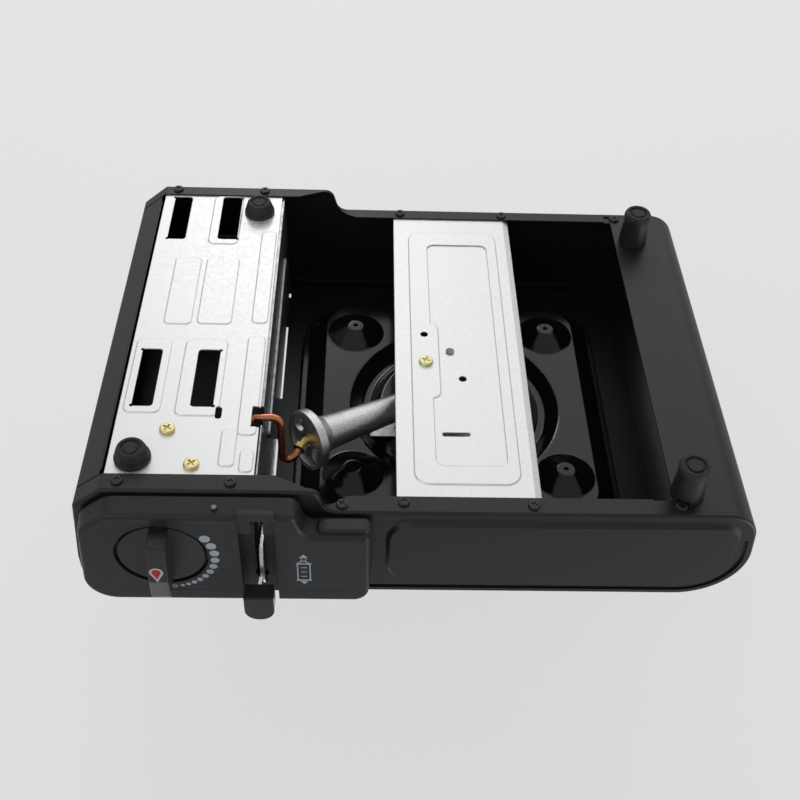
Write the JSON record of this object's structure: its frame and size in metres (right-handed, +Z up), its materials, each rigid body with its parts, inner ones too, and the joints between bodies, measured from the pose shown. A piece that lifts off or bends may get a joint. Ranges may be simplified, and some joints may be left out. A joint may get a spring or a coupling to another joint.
{
  "type": "portable gas stove",
  "caption": "Portable table-top gas stove with a cartridge compartment beside one burner in an open drip pan, on four feet.",
  "frame": {"origin": "on the table under the middle of the stove's bounding box", "axes": "+X towards the user's right, the gas compartment's side; +Y away from the user; +Z up"},
  "size_m": [0.3356, 0.266, 0.1055],
  "materials": {
    "black_paint": "semi-gloss black powder coat on pressed steel",
    "galvanised_sheet": "matt zinc-coated sheet with a fine spangle",
    "black_enamel": "glossy black vitreous enamel",
    "cast_aluminium": "as-cast, grainy satin grey",
    "burner_steel": "satin steel, slightly heat tinted",
    "yellow_brass": "turned yellow brass",
    "copper_tube": "drawn copper, semi-bright",
    "black_plastic": "moulded black plastic, fine satin texture",
    "knob_plastic": "moulded black plastic, satin",
    "dial_sheet": null,
    "black_rubber": "moulded black rubber",
    "black_steel": "blackened steel screws",
    "zinc_yellow": "yellow chromated zinc on steel",
    "bright_steel": "bright plated spring steel",
    "ceramic_white": "glazed white ceramic",
    "regulator_casting": "zinc die casting"
  },
  "bodies": {
    "casing": {"casing_top": "black_paint", "front_plate": "black_paint", "back_plate": "black_paint", "drip_pan": "black_enamel", "burner_bracket": "galvanised_sheet", "compartment_tray": "galvanised_sheet", "compartment_wall": "galvanised_sheet", "regulator_bracket": "galvanised_sheet", "electrode_clip": "galvanised_sheet", "mixing_tube": "cast_aluminium", "burner_head": "cast_aluminium", "burner_cap": "burner_steel", "gas_nozzle": "yellow_brass", "nozzle_collar": "black_rubber", "gas_pipe": "copper_tube", "regulator_body": "regulator_casting", "inlet_seal": "black_rubber", "piezo_igniter": "black_plastic", "electrode_insulator": "ceramic_white", "electrode_pin": "bright_steel", "control_panel": "black_plastic", "dial_label": "dial_sheet", "note_label": "dial_sheet", "panel_rivet": "bright_steel", "lever_pivot": "bright_steel", "carriage_studs": "bright_steel", "return_spring": "bright_steel", "hinge_rod": "bright_steel", "short_feet": "black_rubber", "tall_feet": "black_plastic", "tall_foot_tips": "black_rubber", "flange_screws": "black_steel", "zinc_screws": "zinc_yellow", "burner_rivet": "bright_steel"},
    "knob": {"gas_knob": "knob_plastic", "valve_spindle": "yellow_brass"},
    "lever": {"lever_blade": "bright_steel", "lever_button": "black_plastic", "drive_pin": "bright_steel"},
    "carriage": {"cartridge_carriage": "galvanised_sheet"},
    "lid": {"cartridge_lid": "black_paint"},
    "pan_support_body": {"pan_support": "black_enamel"}
  },
  "joints": [
    {"name": "knob_turn", "type": "hinge", "parent": "casing", "child": "knob", "pos_m": [0.1225, -0.117, 0.0393], "axis": [0, -1, 0], "range_deg": [0, 120]},
    {"name": "lever_turn", "type": "hinge", "parent": "casing", "child": "lever", "pos_m": [0.075, -0.087, 0.0485], "axis": [1, 0, 0], "range_deg": [0, 46], "stiffness_Nm_per_rad": 0.15, "springref_deg": -28.65},
    {"name": "carriage_slide", "type": "slide", "parent": "casing", "child": "carriage", "axis": [0, -1, 0], "range_m": [0, 0.011], "deforming": ["return_spring"]},
    {"name": "lid_hinge", "type": "hinge", "parent": "casing", "child": "lid", "pos_m": [0.0808, 0.013, 0.0836], "axis": [0, -1, 0], "range_deg": [0, 100]},
    {"name": "pan_support_lift", "type": "slide", "parent": "casing", "child": "pan_support_body", "axis": [0, 0, 1], "range_m": [0, 0.06]}
  ],
  "couplings": [
    {"joint": "carriage_slide", "follows": "lever_turn", "m_per_rad": 0.013626}
  ]
}
